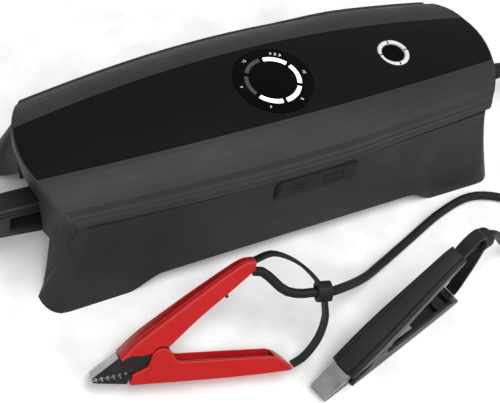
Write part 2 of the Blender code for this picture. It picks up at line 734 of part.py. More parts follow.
# ---------------------------------------------------------------- connector housing and boot
def build_input_housing():
    """Side outline of the housing: a deep upper beam and a thin lower bar meeting at the nose."""
    right = HOUSING_ROOT
    outline = [(right, 41.0), (-122.0, 41.0), (HOUSING_TIP + 6.0, 41.6), (HOUSING_TIP, 38.0),
               (HOUSING_TIP, 26.0), (HOUSING_TIP + 5.0, 23.0), (right, 15.6), (right, 20.4),
               (-134.0, 25.0), (-134.0, 34.4), (right, 33.4)]
    frame = Matrix.Translation((0.0, HOUSING_Y, 0.0)) @ AXES_XZ
    housing = prism("input_housing", outline, -HOUSING_HALF, HOUSING_HALF, "black",
                    matrix=frame, bevel=1.0)
    cut(housing, cylinder("socket_bore", 3.6, HOUSING_TIP - 5.0, HOUSING_TIP + 15.0, "black",
                          axis="X", centre=(HOUSING_Y, SOCKET_Z), sides=20))
    profile = ((0.0, -9.0), (1.2, -9.0), (1.2, 0.0), (3.2, 0.0), (3.2, -11.0), (0.0, -11.0))
    facing = Matrix.Translation((HOUSING_TIP + 1.5, HOUSING_Y, SOCKET_Z)) @ Matrix.Rotation(
        -math.pi / 2, 4, "Y")
    turned("input_socket", profile, "steel", steps=20, matrix=facing)


def build_boot():
    profile = ((0.0, 44.0), (3.6, 44.0), (4.6, 36.0), (5.0, 20.0), (5.4, 13.5), (7.2, 12.9),
               (7.2, 9.6), (5.0, 9.6), (5.0, 2.0), (0.0, 2.0))
    base = BOOT_TIP - 44.0
    facing = Matrix.Translation((base, 0.0, BOOT_Z)) @ Matrix.Rotation(math.pi / 2, 4, "Y")
    turned("cable_boot", profile, "rubber", steps=24, matrix=facing)


# ---------------------------------------------------------------- clamps
CLAMPS = {
    "red": {"finish": "red", "scale": 0.98, "origin": (-107.73, -94.73, 5.35),
            "u": (0.9614, -0.275, 0.0), "w": (0.1945, 0.6798, 0.7071)},
    "black": {"finish": "black", "scale": 1.0, "origin": (-10.53, -126.07, 0.3),
              "u": (0.9613, 0.2756, 0.0), "w": (0.0, 0.0, 1.0)},
}
STRAPS = {
    "red": {"upper": ((59.4, 53.6), (67.6, 56.6), (75.0, 54.8), (82.4, 50.5), (89.5, 43.5), (93.5, 37.0)),
            "lower": ((93.5, 37.0), (94.4, 31.0), (94.7, 23.6), (91.3, 14.1), (84.6, 5.8), (78.5, 2.2)),
            "collar": (93.5, 37.0), "lead": ((59.2, 48.6), (64.0, 47.9), (69.0, 43.5), (74.5, 38.6),
                                            (81.5, 36.6), (89.0, 36.8), (98.0, 36.8))},
    "black": {"upper": ((59.4, 53.8), (63.5, 59.6), (69.5, 60.6), (74.5, 57.0), (77.5, 50.0)),
              "lower": ((77.5, 50.0), (80.6, 40.0), (81.6, 28.0), (81.0, 14.0), (80.2, 5.0), (78.7, 1.7)),
              "collar": (77.5, 50.0), "lead": ((59.2, 49.0), (64.0, 50.2), (70.0, 50.6), (77.5, 50.0),
                                              (86.0, 47.0))},
}


def clamp_frame(side):
    """Maps a clamp's along (X), across (Y) and width (Z) to its place on the floor."""
    spec = CLAMPS[side]
    u, w = Vector(spec["u"]).normalized(), Vector(spec["w"]).normalized()
    n = u.cross(w)
    size = spec["scale"]
    turn = Matrix((u, w, n)).transposed().to_4x4()
    return Matrix.Translation(spec["origin"]) @ turn @ Matrix.Scale(size, 4)


def in_clamp(side, point):
    return clamp_frame(side) @ Vector((point[0], point[1], 0.0))


def lobe(radius, first, last, steps=10):
    """Points of an arc round the pivot between two angles in degrees."""
    return [(PIVOT_U + radius * math.cos(math.radians(mix(first, last, k / steps))),
             PIVOT_W + radius * math.sin(math.radians(mix(first, last, k / steps))))
            for k in range(steps + 1)]


def strip(points, thick):
    """Outline of a strap of even thickness along a smooth line."""
    line = smooth_route([(*p, 0.0) for p in points], 3.0)
    left, right = [], []
    for k, spot in enumerate(line):
        ahead = line[min(k + 1, len(line) - 1)] - line[max(k - 1, 0)]
        side = Vector((-ahead.y, ahead.x, 0.0)).normalized() * thick / 2
        left.append(((spot + side).x, (spot + side).y))
        right.append(((spot - side).x, (spot - side).y))
    return left + list(reversed(right))


def teeth(start, end, count, depth):
    """A zigzag between two points, its teeth reaching back from the line."""
    a, b = Vector(start), Vector(end)
    side = Vector((-(b - a).y, (b - a).x)).normalized() * depth
    points = []
    for k in range(count):
        points.append(a.lerp(b, k / count))
        points.append(a.lerp(b, (k + 0.5) / count) + side)
    return [(p.x, p.y) for p in points] + [tuple(end)]


def build_clamp(side):
    spec = CLAMPS[side]
    frame = clamp_frame(side)
    finish = spec["finish"]
    half, inner = CLAMP_WIDTH / 2, CLAMP_WIDTH / 2 - CLAMP_SKIN
    jaw = JAW_WIDTH / 2

    def solid(name, outline, low, high, kind, bevel=0.0):
        return prism(name, outline, low, high, kind, matrix=frame, bevel=bevel)

    def pin_bore(item, name):
        reach = PIN_HALF + GAP
        tool = cylinder(name, PIN_RADIUS + GAP, -reach, reach, "steel", centre=(PIVOT_U, PIVOT_W),
                        sides=20)
        tool.data.transform(scaled(frame))
        return cut(item, tool)

    upper_line = ((-4.4, 13.3), (16.1, 30.9), (34.7, 44.2), (52.5, 54.6), (57.0, 55.6), (59.0, 53.4),
                  (58.6, 50.6), (54.0, 45.7), (47.7, 39.9), (20.5, 17.9))
    upper = solid(side + "_upper_handle", list(reversed(upper_line + tuple(
        reversed(lobe(LOBE_RADIUS + 0.5, 150.0, 62.0, 6))) + ((1.0, 13.9),))),
        -half, half, finish, bevel=1.4)
    upper_pocket = ((-6.0, 9.0), (-1.4, 13.2), (17.6, 29.4), (36.0, 42.4), (51.0, 51.2), (53.0, 48.0),
                    (50.0, 38.0), (21.0, 12.0))
    cut(upper, solid(side + "_upper_pocket", upper_pocket, -inner, inner, finish))

    lower_line = [(0.4, 0.0), (20.0, -0.05), (45.0, 0.15), (62.0, 0.7), (75.8, 1.5), (77.4, 2.4),
                  (74.4, 5.2), (70.6, 7.8), (66.8, 9.0), (45.0, 9.4), (23.6, 9.6), (21.6, 10.4)]
    lower_line += lobe(LOBE_RADIUS, 12.0, 176.0, 12) + [(8.4, 8.2), (4.6, 6.4), (1.2, 5.0)]
    lower = solid(side + "_lower_handle", lower_line, -half, half, finish, bevel=0.7)
    cut(lower, solid(side + "_lower_pocket", ((-4.0, 2.1), (64.0, 2.6), (69.0, 4.6), (69.0, 22.0),
                                              (-4.0, 22.0)), -inner, inner, finish))
    for across in (-GROOVE_AT, GROOVE_AT):
        cut(upper, solid(side + "_groove", strip(upper_line[1:4], 1.8), across - GROOVE_HALF,
                         across + GROOVE_HALF, finish))

    pin_bore(lower, side + "_lower_bore")
    set_origin(lower, in_clamp(side, (PIVOT_U, PIVOT_W)))

    upper_jaw_line = (teeth((-16.6, 3.0), (0.0, 5.2), 6, 1.0) + [(8.0, 6.6)]
                      + lobe(4.0, 250.0, 370.0, 7) + [(18.0, 20.0), (12.0, 24.2), (-1.4, 12.9),
                                                      (-4.8, 12.6), (-16.8, 3.9)])
    upper_jaw = solid(side + "_upper_jaw", upper_jaw_line, -jaw, jaw, "chrome")
    slot = jaw - JAW_SLOT_WALL
    cut(upper_jaw, solid(side + "_jaw_slot", ((2.0, 0.0), (25.0, 0.0), (25.0, 20.4), (2.0, 13.4)),
                         -slot, slot, "chrome"))
    pin_bore(upper_jaw, side + "_jaw_bore")

    lower_jaw_line = [(-16.8, 1.9), (-1.0, 0.2), (-0.2, 2.5), (30.0, 2.8), (30.0, 4.0), (4.5, 3.9),
                      (1.0, 4.3)]
    lower_jaw_line += teeth((0.0, 4.5), (-16.4, 2.4), 6, 1.0)[1:]
    lower_jaw = solid(side + "_lower_jaw", lower_jaw_line, -jaw, jaw, "chrome")
    set_origin(lower_jaw, in_clamp(side, (PIVOT_U, PIVOT_W)))

    pin_frame = frame @ Matrix.Translation((PIVOT_U, PIVOT_W, 0.0))
    worn = PIN_HALF - 0.3
    pin = ((0.0, PIN_HALF), (1.3, PIN_HALF), (PIN_RADIUS, worn), (PIN_RADIUS, -worn),
           (1.3, -PIN_HALF), (0.0, -PIN_HALF))
    turned(side + "_pivot_pin", pin, "steel", steps=20, matrix=pin_frame)

    coil = []
    turns, wire, reach = 3, 0.6, 2.75
    for k in range(turns * 12 + 1):
        angle = -math.pi / 2 + 2 * math.pi * k / 12
        coil.append((PIVOT_U + reach * math.cos(angle), PIVOT_W + reach * math.sin(angle),
                     -2.1 + 4.2 * k / (turns * 12)))
    start, end = coil[0], coil[-1]
    coil = ([(PIVOT_U + 17.0, 5.0, start[2]), (PIVOT_U + 6.0, start[1] - 1.0, start[2])] + coil)
    coil = coil + [(end[0] - 2.6, end[1] + 0.2, end[2])]
    spots = [frame @ Vector(p) for p in coil]
    tube(side + "_spring", spots, wire, "steel", rings=1)

    straps = STRAPS[side]
    band = solid(side + "_strap", strip(straps["upper"], STRAP_THICK), -STRAP_HALF, STRAP_HALF,
                 "rubber")
    fuse(band, solid(side + "_strap_lower", strip(straps["lower"], STRAP_THICK), -STRAP_HALF,
                     STRAP_HALF, "rubber"))
    heading = Vector(straps["lead"][-1]) - Vector(straps["lead"][-3])
    collar = cylinder(side + "_collar", COLLAR_RADIUS, -COLLAR_HALF, COLLAR_HALF, "rubber", sides=20)
    bore = cylinder(side + "_collar_bore", LEAD_RADIUS + 3 * GAP, -9.0, 9.0, "rubber", sides=20)
    aim = Matrix.Translation((*straps["collar"], 0.0)) @ Matrix.Rotation(
        math.atan2(heading.y, heading.x), 4, "Z") @ Matrix.Rotation(math.pi / 2, 4, "Y")
    for item in (collar, bore):
        item.data.transform(scaled(frame @ aim))
    fuse(band, collar)
    cut(band, bore)


def scaled(matrix):
    """The same placing for a mesh that is already in metres."""
    moved = matrix.copy()
    moved.translation = matrix.translation * MM
    return moved


# ---------------------------------------------------------------- cords
def build_cords():
    reach = COIL_MEAN + COIL_HALF_WIDTH + CABLE_RADIUS + GAP
    north, south = COIL_CENTRE.y + reach, COIL_CENTRE.y - reach
    route = [(BOOT_TIP + GAP, 0.0, BOOT_Z), (BOOT_TIP + 10.0, 0.0, 25.2),
             (BOOT_TIP + 24.0, 0.0, 16.0), (BOOT_TIP + 38.0, 0.0, 6.6),
             (BOOT_TIP + 50.0, 0.2 * north, CABLE_RADIUS + 0.3), (COIL_CENTRE.x + 2.0, north, CABLE_RADIUS)]
    tube("dc_cable", smooth_route(route, 9.0), CABLE_RADIUS, "rubber")
    inner, outer = COIL_MEAN - COIL_HALF_WIDTH, COIL_MEAN + COIL_HALF_WIDTH
    soft = 2.6
    turned("dc_cable_coil", ((inner, soft), (inner, COIL_HEIGHT - soft), (inner + soft, COIL_HEIGHT),
                             (outer - soft, COIL_HEIGHT), (outer, COIL_HEIGHT - soft), (outer, soft),
                             (outer - soft, 0.0), (inner + soft, 0.0), (inner, soft)),
           "rubber", steps=40, matrix=Matrix.Translation(COIL_CENTRE))
    splitter_x = COIL_CENTRE.x - SPLITTER_BACK
    tube("dc_cable_tail", [(COIL_CENTRE.x + 2.0, south, CABLE_RADIUS),
                           (COIL_CENTRE.x - 14.0, south, CABLE_RADIUS + 0.4),
                           (splitter_x + GAP, south, SPLITTER_MIDDLE)], CABLE_RADIUS, "rubber")
    back, shoulder = -SPLITTER_LENGTH, 2.0 - SPLITTER_LENGTH
    body = [(0.0, -4.2), (0.0, 4.2), (-4.0, 5.8), (shoulder, 6.6), (back, 5.6), (back, -5.6),
            (shoulder, -6.6), (-4.0, -5.8)]
    prism("cable_splitter", body, 0.0, 2 * SPLITTER_MIDDLE, "rubber",
          matrix=Matrix.Translation((splitter_x, south, 0.0)), bevel=1.2)
    start_x = splitter_x - SPLITTER_LENGTH - 2 * GAP
    floor = LEAD_RADIUS + 0.1
    red = [in_clamp("red", p) for p in STRAPS["red"]["lead"]]
    red += [Vector((18.0, -88.0, 14.0)), Vector((38.0, -79.0, 4.4)), Vector((61.0, -70.0, floor)),
            Vector((86.0, -61.0, floor)), Vector((108.0, -57.5, floor)), Vector((126.0, -65.0, floor)),
            Vector((137.0, -79.5, floor)), Vector((start_x - 6.0, south + 3.6, 4.1)),
            Vector((start_x, south + 3.0, 4.2))]
    tube("red_lead", smooth_route(red, 7.0), LEAD_RADIUS, "rubber")
    black = [in_clamp("black", p) for p in STRAPS["black"]["lead"]]
    black += [Vector((85.0, -98.5, 34.0)), Vector((99.0, -95.0, 16.0)), Vector((113.0, -94.0, 4.6)),
              Vector((130.0, -94.6, floor)), Vector((start_x - 8.0, south - 3.2, 4.0)),
              Vector((start_x, south - 3.0, 4.2))]
    tube("black_lead", smooth_route(black, 7.0), LEAD_RADIUS, "rubber")


build_upper_shell()
build_display()
build_button()
build_lower_case()
build_usb()
build_inside()
build_feet()
build_input_housing()
build_boot()
build_cords()
for each in CLAMPS:
    build_clamp(each)
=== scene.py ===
"""The looks of the portable car battery charger: finishes with grain, cords at their real length,
copies of the straps and springs, rounded clamp handles, printed and moulded marks, and a studio.
Lengths are in millimetres until mm() or a piece's matrix turns them into Blender's metres; what
is in metres from the start says so."""
import json
import math

import bmesh
import bpy
from mathutils import Matrix, Vector


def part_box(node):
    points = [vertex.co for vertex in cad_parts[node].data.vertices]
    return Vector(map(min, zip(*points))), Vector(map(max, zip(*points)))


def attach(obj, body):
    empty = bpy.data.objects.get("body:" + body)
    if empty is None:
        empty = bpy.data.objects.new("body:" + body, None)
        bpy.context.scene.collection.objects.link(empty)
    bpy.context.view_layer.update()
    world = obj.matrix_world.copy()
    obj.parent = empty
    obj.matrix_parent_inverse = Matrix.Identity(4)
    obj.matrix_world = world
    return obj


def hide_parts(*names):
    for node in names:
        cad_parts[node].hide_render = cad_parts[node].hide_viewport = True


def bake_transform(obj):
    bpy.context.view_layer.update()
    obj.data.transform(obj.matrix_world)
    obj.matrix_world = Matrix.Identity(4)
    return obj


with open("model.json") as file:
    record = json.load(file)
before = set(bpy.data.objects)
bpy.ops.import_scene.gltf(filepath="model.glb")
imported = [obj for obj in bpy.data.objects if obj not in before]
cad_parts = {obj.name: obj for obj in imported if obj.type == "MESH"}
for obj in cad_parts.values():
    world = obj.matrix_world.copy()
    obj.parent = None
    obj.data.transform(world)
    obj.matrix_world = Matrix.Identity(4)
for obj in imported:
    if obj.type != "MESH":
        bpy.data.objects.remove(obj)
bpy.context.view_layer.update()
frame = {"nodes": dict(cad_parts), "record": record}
nodes = frame["nodes"]


def mm(*values):
    """One length or a point given in millimetres, in metres."""
    if len(values) == 1:
        return values[0] / 1000.0
    return Vector(values) / 1000.0


# ---------------------------------------------------------------- camera
AZIMUTH = math.radians(-40.74)
ELEVATION = math.radians(52.94)
ROLL = math.radians(18.08)
TARGET = mm(-20.8, -35.72, 26.52)
DISTANCE = mm(583.5)
LENS = 86.47
SENSOR = 36.0
NEAR_CLIP = mm(10.0)


def build_camera():
    """The camera that matches the photo: turned, tilted and rolled about a target."""
    back = Vector((math.sin(AZIMUTH) * math.cos(ELEVATION),
                   -math.cos(AZIMUTH) * math.cos(ELEVATION), math.sin(ELEVATION)))
    right = Vector((math.cos(AZIMUTH), math.sin(AZIMUTH), 0.0))
    up = back.cross(right)
    turned_right = math.cos(ROLL) * right + math.sin(ROLL) * up
    turned_up = -math.sin(ROLL) * right + math.cos(ROLL) * up
    data = bpy.data.cameras.new("camera")
    data.lens = LENS
    data.sensor_width = SENSOR
    data.clip_start = NEAR_CLIP
    camera = bpy.data.objects.new("camera", data)
    bpy.context.scene.collection.objects.link(camera)
    facing = Matrix((turned_right, turned_up, back)).transposed().to_4x4()
    facing.translation = TARGET + back * DISTANCE
    camera.matrix_world = facing
    bpy.context.scene.camera = camera


# ---------------------------------------------------------------- materials
# Edges sharper than these angles stay sharp under smooth shading.
NODE_CREASE = math.radians(32.0)
PIECE_CREASE = math.radians(35.0)
BAND_CREASE = math.radians(40.0)
HANDLE_CREASE = math.radians(38.0)
# The part of a noise's range that is used, and how many waves of each kind fit in a metre.
NOISE_LOW = 0.3
NOISE_HIGH = 0.7
CLOUD_SCALE = 38.0
SHEEN_SCALE = 120.0
GLOW_SCALE = 300.0
SHEEN_REACH = 0.05         # how far the roughness strays either way
GLOW_DIM = 0.93
GLOW_ROUGH = 0.35


def new_material(name):
    made = bpy.data.materials.new(name)
    made.use_nodes = True
    tree = made.node_tree
    return made, tree, tree.nodes["Principled BSDF"]


def noise(tree, scale, detail=4.0):
    """A noise in object space, so that its grain has the same size on every piece."""
    place = tree.nodes.new("ShaderNodeTexCoord")
    texture = tree.nodes.new("ShaderNodeTexNoise")
    texture.inputs["Scale"].default_value = scale
    texture.inputs["Detail"].default_value = detail
    tree.links.new(place.outputs["Object"], texture.inputs["Vector"])
    return texture


def spread(tree, texture, low, high):
    """The texture's middle range, stretched between two values."""
    ramp = tree.nodes.new("ShaderNodeMapRange")
    ramp.inputs["From Min"].default_value = NOISE_LOW
    ramp.inputs["From Max"].default_value = NOISE_HIGH
    ramp.inputs["To Min"].default_value = low
    ramp.inputs["To Max"].default_value = high
    tree.links.new(texture.outputs["Fac"], ramp.inputs["Value"])
    return ramp


def tinted(tree, texture, dark, light):
    """The texture's middle range as a blend of two colours."""
    ramp = tree.nodes.new("ShaderNodeValToRGB")
    ramp.color_ramp.elements[0].position = NOISE_LOW
    ramp.color_ramp.elements[1].position = NOISE_HIGH
    ramp.color_ramp.elements[0].color = (*dark, 1.0)
    ramp.color_ramp.elements[1].color = (*light, 1.0)
    tree.links.new(texture.outputs["Fac"], ramp.inputs["Fac"])
    return ramp


def grain_bump(tree, shader, texture, strength, depth):
    bump = tree.nodes.new("ShaderNodeBump")
    bump.inputs["Strength"].default_value = strength
    bump.inputs["Distance"].default_value = depth
    tree.links.new(texture.outputs["Fac"], bump.inputs["Height"])
    tree.links.new(bump.outputs["Normal"], shader.inputs["Normal"])


def moulded(name, colour, rough, grain=2600.0, depth=0.00004, strength=0.35, vary=0.10, metal=0.0,
            specular=0.5):
    """A moulded, plated or drawn surface: fine grain, mottled colour and uneven gloss; the strong
    mottle on the jaws' plating is a painted patchy reflection.
    """
    made, tree, shader = new_material(name)
    shader.inputs["Metallic"].default_value = metal
    shader.inputs["Specular IOR Level"].default_value = specular
    cloud = noise(tree, CLOUD_SCALE, 3.0)
    dark = tuple(c * (1.0 - vary) for c in colour)
    light = tuple(min(1.0, c * (1.0 + vary)) for c in colour)
    tint = tinted(tree, cloud, dark, light)
    tree.links.new(tint.outputs["Color"], shader.inputs["Base Color"])
    sheen = noise(tree, SHEEN_SCALE, 5.0)
    gloss = spread(tree, sheen, max(0.02, rough - SHEEN_REACH), min(1.0, rough + SHEEN_REACH))
    tree.links.new(gloss.outputs["Result"], shader.inputs["Roughness"])
    grain_bump(tree, shader, noise(tree, grain, 2.0), strength, depth)
    return made


def glowing(name, colour, strength):
    """A lit window: a pale diffuser with a soft unevenness and some light of its own; on the button
    ring, which is no light, that light is a painted glow.
    """
    made, tree, shader = new_material(name)
    tint = tinted(tree, noise(tree, GLOW_SCALE), tuple(GLOW_DIM * c for c in colour), colour)
    tree.links.new(tint.outputs["Color"], shader.inputs["Base Color"])
    shader.inputs["Roughness"].default_value = GLOW_ROUGH
    shader.inputs["Emission Color"].default_value = (*colour, 1.0)
    shader.inputs["Emission Strength"].default_value = strength
    return made


FINISHES = {
    "case": moulded("case_plastic", (0.0172, 0.0170, 0.0173), 0.50, depth=0.00005, strength=0.45,
                    specular=0.16),
    "shell": moulded("shell_plastic", (0.0235, 0.0235, 0.0239), 0.46, specular=0.16),
    "panel": moulded("panel_plastic", (0.0046, 0.0046, 0.0048), 0.42, depth=0.00002, strength=0.25,
                     specular=0.06),
    "lens": moulded("lens_plastic", (0.0014, 0.0014, 0.0015), 0.22, grain=900.0, strength=0.05,
                    specular=0.05),
    "rubber": moulded("cord_rubber", (0.0115, 0.0115, 0.012), 0.55, grain=3200.0, strength=0.5,
                      specular=0.14),
    "black": moulded("black_nylon", (0.0125, 0.0125, 0.013), 0.42, grain=2200.0, strength=0.5,
                     depth=0.00006, specular=0.20),
    "red": moulded("red_nylon", (0.37, 0.0048, 0.0048), 0.36, grain=2200.0, strength=0.3, vary=0.05,
                   specular=0.25),
    # The plating's strong mottle (vary 0.55) is a painted patchy reflection.
    "chrome": moulded("plated_steel", (0.42, 0.42, 0.435), 0.14, grain=700.0, strength=0.15,
                      metal=1.0, vary=0.55),
    # The jaws' sides: plating darkened and mottled, a painted dark reflection.
    "dark_chrome": moulded("plating_painted_dark_reflection", (0.055, 0.055, 0.058), 0.24, grain=900.0, strength=0.3,
                           metal=1.0, vary=0.3),
    "steel": moulded("spring_steel", (0.52, 0.52, 0.54), 0.28, grain=900.0, strength=0.25,
                     metal=1.0),
    "board": moulded("solder_mask", (0.010, 0.10, 0.035), 0.40, grain=500.0),
    "cell": moulded("cell_sleeve", (0.02, 0.10, 0.28), 0.35, grain=1500.0),
    "copper": moulded("wound_copper", (0.60, 0.26, 0.10), 0.32, grain=1800.0, metal=1.0),
    "aluminium": moulded("extruded_aluminium", (0.60, 0.61, 0.63), 0.36, grain=1500.0, metal=1.0),
    "lit": glowing("lit_window", (1.0, 1.0, 1.0), 1.1),
    # The button ring is white plastic, not a light; its emission is a painted glow.
    "ring": glowing("ring_painted_glow", (0.50, 0.50, 0.50), 0.35),
    "unlit": moulded("unlit_window", (0.042, 0.042, 0.043), 0.40, grain=1200.0),
    "print": moulded("white_print", (0.62, 0.62, 0.63), 0.55, grain=4000.0),
}
LIT_SEGMENTS = (1, 2, 3, 4)
OWN_FINISH = {"button_ring": "ring", "button_cap": "lens"}    # not the finish of their slot
JAW_SIDE = 0.9             # a jaw face that looks this much across the clamp is a side


def dress_nodes():
    """Finish and smooth shading for every CAD node, and a painted dark reflection on the jaws'
    sides.
    """
    slots = {part["node"]: part["material_slot"] for part in frame["record"]["subparts"]}
    for name, item in nodes.items():
        finish = OWN_FINISH.get(name, slots[name])
        if finish == "light":
            finish = "lit" if int(name[-1]) in LIT_SEGMENTS else "unlit"
        item.data.materials.clear()
        item.data.materials.append(FINISHES[finish])
        item.data.shade_smooth()
        item.data.set_sharp_from_angle(angle=NODE_CREASE)
    for side in CLAMPS:
        across = clamp_frame(side).to_3x3().col[2].normalized()
        for jaw in ("_upper_jaw", "_lower_jaw"):
            mesh = nodes[side + jaw].data
            mesh.materials.append(FINISHES["dark_chrome"])
            # Faces that look across the clamp take the painted dark reflection.
            for face in mesh.polygons:
                if abs(face.normal.dot(across)) > JAW_SIDE:
                    face.material_index = 1


# ---------------------------------------------------------------- pieces
CORD_RESOLUTION = 5
SPLINE_STEPS = 24          # points between two given ones, before they are evened out


def keep(item, body, finish):
    """Link a new piece, finish it and let it ride on a body."""
    if item.name not in bpy.context.scene.collection.objects:
        bpy.context.scene.collection.objects.link(item)
    item.data.materials.clear()
    item.data.materials.append(FINISHES[finish])
    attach(item, body)
    return item


def cord_curve(name, points, radius):
    """A round cord with capped ends through the points, in metres."""
    data = bpy.data.curves.new(name, "CURVE")
    data.dimensions = "3D"
    data.bevel_depth = radius
    data.bevel_resolution = CORD_RESOLUTION
    data.use_fill_caps = True
    spline = data.splines.new("POLY")
    spline.points.add(len(points) - 1)
    for spot, p in zip(spline.points, points):
        spot.co = (*p, 1.0)
    spline.use_smooth = True
    return bpy.data.objects.new(name, data)


def length_of(points):
    return sum((b - a).length for a, b in zip(points, points[1:]))


def smooth_route(points, spacing):
    """Evenly spaced points on a smooth curve through the given ones."""
    knots = [Vector(p) for p in points]
    knots = [2 * knots[0] - knots[1]] + knots + [2 * knots[-1] - knots[-2]]
    fine = []
    for a, b, c, d in zip(knots, knots[1:], knots[2:], knots[3:]):
        for k in range(SPLINE_STEPS):
            t = k / SPLINE_STEPS
            fine.append(0.5 * (2 * b + (c - a) * t + (2 * a - 5 * b + 4 * c - d) * t ** 2
                               + (3 * b - a - 3 * c + d) * t ** 3))
    fine.append(knots[-2])
    total = length_of(fine)
    count = max(2, round(total / spacing))
    route, walked, step = [fine[0]], 0.0, total / count
    for a, b in zip(fine, fine[1:]):
        reach = (b - a).length
        while walked + reach >= step * len(route) and len(route) < count:
            route.append(a.lerp(b, (step * len(route) - walked) / reach))
        walked += reach
    return route + [fine[-1]]


def ease(value):
    """From 0 to 1 with a soft start and end."""
    value = min(max(value, 0.0), 1.0)
    return value * value * (3 - 2 * value)


def stepped(value, stops):
    """A value that eases through (position, level) stops."""
    for (a, low), (b, high) in zip(stops, stops[1:]):
        if value <= b:
            return low + (high - low) * ease((value - a) / (b - a))
    return stops[-1][1]


# ---------------------------------------------------------------- cords, straps and springs
GAP = 0.3                  # clearance between a cord and the fitting it meets
BOOT_TIP = 158.0
BOOT_Z = 26.5
CABLE_RADIUS = 3.0
LEAD_RADIUS = 2.25
COIL_CENTRE = Vector((218.0, -46.0, 0.0))
COIL_REACH = 45.5
COIL_TURNS = 5.5
COIL_STEPS = 24            # points in one turn
SPLITTER_BACK = 40.0       # from the coil's centre to the splitter's cable end
SPLITTER_LENGTH = 22.0
LEAD_LIFT = 0.1            # a lead's clearance above the floor
ROUTE_SPACING = 0.004      # metres
# (turns, radius) and (turns, height) stops that the coil eases through.
COIL_RADII = ((0.0, COIL_REACH), (0.22, 39.2), (0.92, 39.1), (1.12, 33.0), (1.92, 33.0),
              (2.12, 26.9), (2.88, 26.9), (3.12, 30.0), (3.92, 30.0), (4.12, 36.1), (4.95, 36.1),
              (5.25, 38.4), (COIL_TURNS, COIL_REACH))
COIL_HEIGHTS = ((0.0, 3.05), (2.86, 3.05), (3.10, 8.4), (4.9, 8.4), (5.18, 9.4), (COIL_TURNS, 4.2))
# Where each clamp lies: its origin, its long axis u, and w from its lower handle to its upper one.
CLAMPS = {
    "red": {"scale": 0.98, "origin": (-107.73, -94.73, 5.35),
            "u": (0.9614, -0.275, 0.0), "w": (0.1945, 0.6798, 0.7071)},
    "black": {"scale": 1.0, "origin": (-10.53, -126.07, 0.3),
              "u": (0.9613, 0.2756, 0.0), "w": (0.0, 0.0, 1.0)},
}
# Each lead's first points, along its clamp's axes u and w.
LEADS = {
    "red": ((59.2, 48.6), (64.0, 47.9), (69.0, 43.5), (74.5, 38.6), (81.5, 36.6), (89.0, 36.8),
            (98.0, 36.8)),
    "black": ((59.2, 49.0), (64.0, 50.2), (70.0, 50.6), (77.5, 50.0), (86.0, 47.0)),
}


def clamp_frame(side):
    """Maps a clamp's along, across and width, in millimetres, to its place in metres."""
    spec = CLAMPS[side]
    u, w = Vector(spec["u"]).normalized(), Vector(spec["w"]).normalized()
    turn = Matrix((u, w, u.cross(w))).transposed().to_4x4()
    return (Matrix.Scale(0.001, 4) @ Matrix.Translation(spec["origin"]) @ turn
            @ Matrix.Scale(spec["scale"], 4))


clamp_pieces = {side: [] for side in CLAMPS}


def bending_copy(side, part, name, finish):
    """A copy of a clamp's node, with its own finish, in place of the node, which is hidden."""
    source = nodes[side + part]
    mesh = source.data.copy()
    mesh.transform(source.matrix_world)
    item = bpy.data.objects.new(side + name, mesh)
    bpy.context.scene.collection.objects.link(item)
    mesh.materials.clear()
    mesh.materials.append(FINISHES[finish])
    mesh.shade_smooth()
    mesh.set_sharp_from_angle(angle=BAND_CREASE)
    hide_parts(side + part)
    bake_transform(item)
    clamp_pieces[side].append(item)


def build_straps_and_springs():
    for side in CLAMPS:
        bending_copy(side, "_strap", "_band", "rubber")
        bending_copy(side, "_spring", "_coil", "steel")


def build_cords():
    """The coiled cable from boot to splitter, and a lead from the splitter to each clamp."""
    north, south = COIL_CENTRE.y + COIL_REACH, COIL_CENTRE.y - COIL_REACH
    down = [(BOOT_TIP + GAP, 0.0, BOOT_Z), (BOOT_TIP + 10.0, 0.0, 25.2),
            (BOOT_TIP + 24.0, 0.0, 16.0), (BOOT_TIP + 38.0, 0.0, 6.6),
            (BOOT_TIP + 50.0, 0.2 * north, CABLE_RADIUS + 0.3),
            (COIL_CENTRE.x + 2.0, north, CABLE_RADIUS)]
    coil = []
    for k in range(1, int(COIL_TURNS * COIL_STEPS) + 1):
        turn = k / COIL_STEPS
        angle = math.pi / 2 - 2 * math.pi * turn
        reach = stepped(turn, COIL_RADII)
        coil.append(COIL_CENTRE + Vector((reach * math.cos(angle), reach * math.sin(angle),
                                          stepped(turn, COIL_HEIGHTS))))
    splitter_x = COIL_CENTRE.x - SPLITTER_BACK
    tail = [Vector((COIL_CENTRE.x - 14.0, south, CABLE_RADIUS + 0.6)),
            Vector((splitter_x + GAP, south, 4.6))]
    cable = [mm(*p) for p in down[:-1] + coil + tail]
    cable = smooth_route(cable, ROUTE_SPACING)
    piece = cord_curve("dc_cord", cable, mm(CABLE_RADIUS))
    keep(piece, "body", "rubber")
    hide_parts("dc_cable", "dc_cable_coil", "dc_cable_tail")

    start_x = splitter_x - SPLITTER_LENGTH - 2 * GAP
    floor = LEAD_RADIUS + LEAD_LIFT
    routes = {
        "red": [(18.0, -88.0, 14.0), (38.0, -79.0, 4.4), (61.0, -70.0, floor), (86.0, -61.0, floor),
                (108.0, -57.5, floor), (126.0, -65.0, floor), (137.0, -79.5, floor),
                (start_x - 6.0, south + 3.6, 4.1), (start_x, south + 3.0, 4.2)],
        "black": [(85.0, -98.5, 34.0), (99.0, -95.0, 16.0), (113.0, -94.0, 4.6),
                  (130.0, -94.6, floor), (start_x - 8.0, south - 3.2, 4.0),
                  (start_x, south - 3.0, 4.2)],
    }
    for side, rest in routes.items():
        place = clamp_frame(side)
        points = [place @ Vector((*p, 0.0)) for p in LEADS[side]] + [mm(*p) for p in rest]
        points = list(reversed(smooth_route(points, ROUTE_SPACING)))
        lead = cord_curve(side + "_cord", points, mm(LEAD_RADIUS))
        keep(lead, "body", "rubber")
        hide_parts(side + "_lead")


